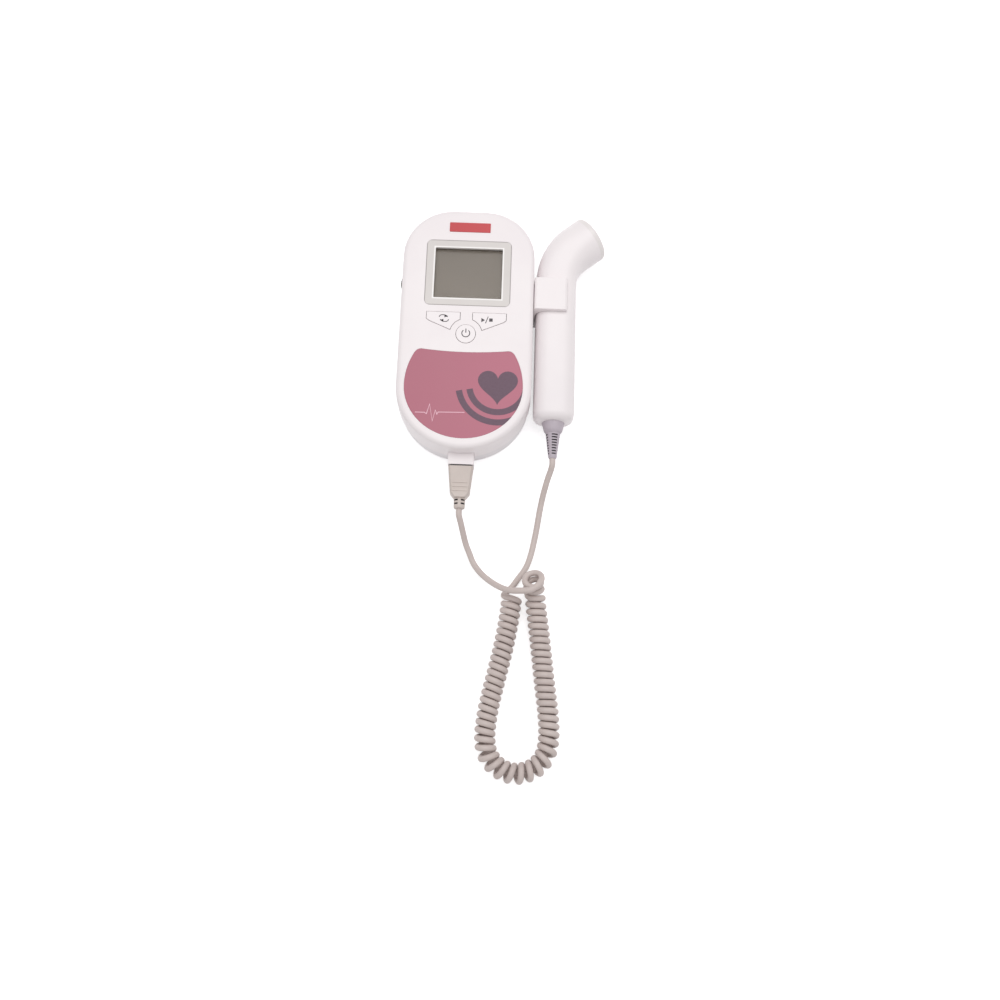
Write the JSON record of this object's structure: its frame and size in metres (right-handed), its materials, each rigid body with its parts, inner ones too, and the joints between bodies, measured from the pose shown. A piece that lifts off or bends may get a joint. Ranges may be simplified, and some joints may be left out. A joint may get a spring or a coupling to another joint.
{
  "type": "fetal doppler monitor",
  "caption": "Pocket fetal heart monitor with a display and push keys, a sliding battery door, and a bent ultrasound probe held at its side and joined by a curly cord.",
  "frame": {"origin": "middle of the unit's flat back face, which it lies on", "axes": "+Z out of the display, +Y to the head end with the display, +X to the side with the probe"},
  "size_m": [0.1119, 0.3049, 0.0293],
  "materials": {
    "case_front": "satin, warm white",
    "case_rear": "satin, warm white",
    "bezel": "satin, light grey",
    "window": "clear",
    "display": "grey display, switched off",
    "backlight": "white",
    "label": "printed film, dusty pink",
    "badge": "red",
    "board": "green laminate",
    "chips": "black",
    "switches": "black",
    "speaker": "dark frame and cone",
    "socket": "black",
    "gold": "plated",
    "steel": "zinc plated",
    "cell": "wrapped can, plain",
    "keys": "satin, white",
    "wheel": "black, toothed",
    "probe_shell": "satin, white",
    "probe_face": "smooth",
    "crystal": "silvered ceramic",
    "cord": "warm grey, smooth"
  },
  "bodies": {
    "main_unit": {"front_shell": "case_front", "rear_shell": "case_rear", "display_bezel": "bezel", "display_window": "window", "lcd_glass": "display", "backlight_frame": "backlight", "front_label": "label", "name_badge": "badge", "main_board": "board", "board_chips": "chips", "key_switches": "switches", "speaker": "speaker", "volume_pot": "socket", "headphone_socket": "socket", "socket_housing": "case_front", "socket_contacts": "gold", "battery_cells": "cell", "contact_springs": "steel", "contact_plates": "steel", "case_screws": "steel", "board_screws": "steel", "probe_holder": "case_front", "plug_body": "cord", "plug_tongue": "keys", "lead_unit": "cord", "cord_coil": "cord", "lead_probe": "cord"},
    "power_key": {"power_button": "keys", "power_plunger": "switches"},
    "mode_key": {"mode_button": "keys", "mode_plunger": "switches"},
    "play_key": {"play_button": "keys", "play_plunger": "switches"},
    "volume_wheel": {"volume_wheel": "wheel"},
    "battery_door": {"battery_door": "case_rear"},
    "probe": {"probe_front_shell": "probe_shell", "probe_rear_shell": "probe_shell", "probe_cap": "probe_face", "probe_crystals": "crystal", "probe_board": "board", "probe_boot": "cord"}
  },
  "joints": [
    {"name": "power_key_press", "type": "slide", "parent": "main_unit", "child": "power_key", "axis": [0, 0, -1], "range_m": [0, 0.0005], "stiffness_N_per_m": 2000, "springref_m": -0.0003},
    {"name": "mode_key_press", "type": "slide", "parent": "main_unit", "child": "mode_key", "axis": [0, 0, -1], "range_m": [0, 0.0005], "stiffness_N_per_m": 2000, "springref_m": -0.0003},
    {"name": "play_key_press", "type": "slide", "parent": "main_unit", "child": "play_key", "axis": [0, 0, -1], "range_m": [0, 0.0005], "stiffness_N_per_m": 2000, "springref_m": -0.0003},
    {"name": "volume_wheel_turn", "type": "hinge", "parent": "main_unit", "child": "volume_wheel", "pos_m": [-0.0287, 0.0284, 0.0169], "axis": [0, 0, 1], "range_deg": [-140, 140]},
    {"name": "battery_door_slide", "type": "slide", "parent": "main_unit", "child": "battery_door", "axis": [0, -1, 0], "range_m": [0, 0.01]},
    {"name": "probe_lift_off", "type": "slide", "parent": "main_unit", "child": "probe", "axis": [1, 0, 0], "range_m": [0, 0.025]}
  ]
}
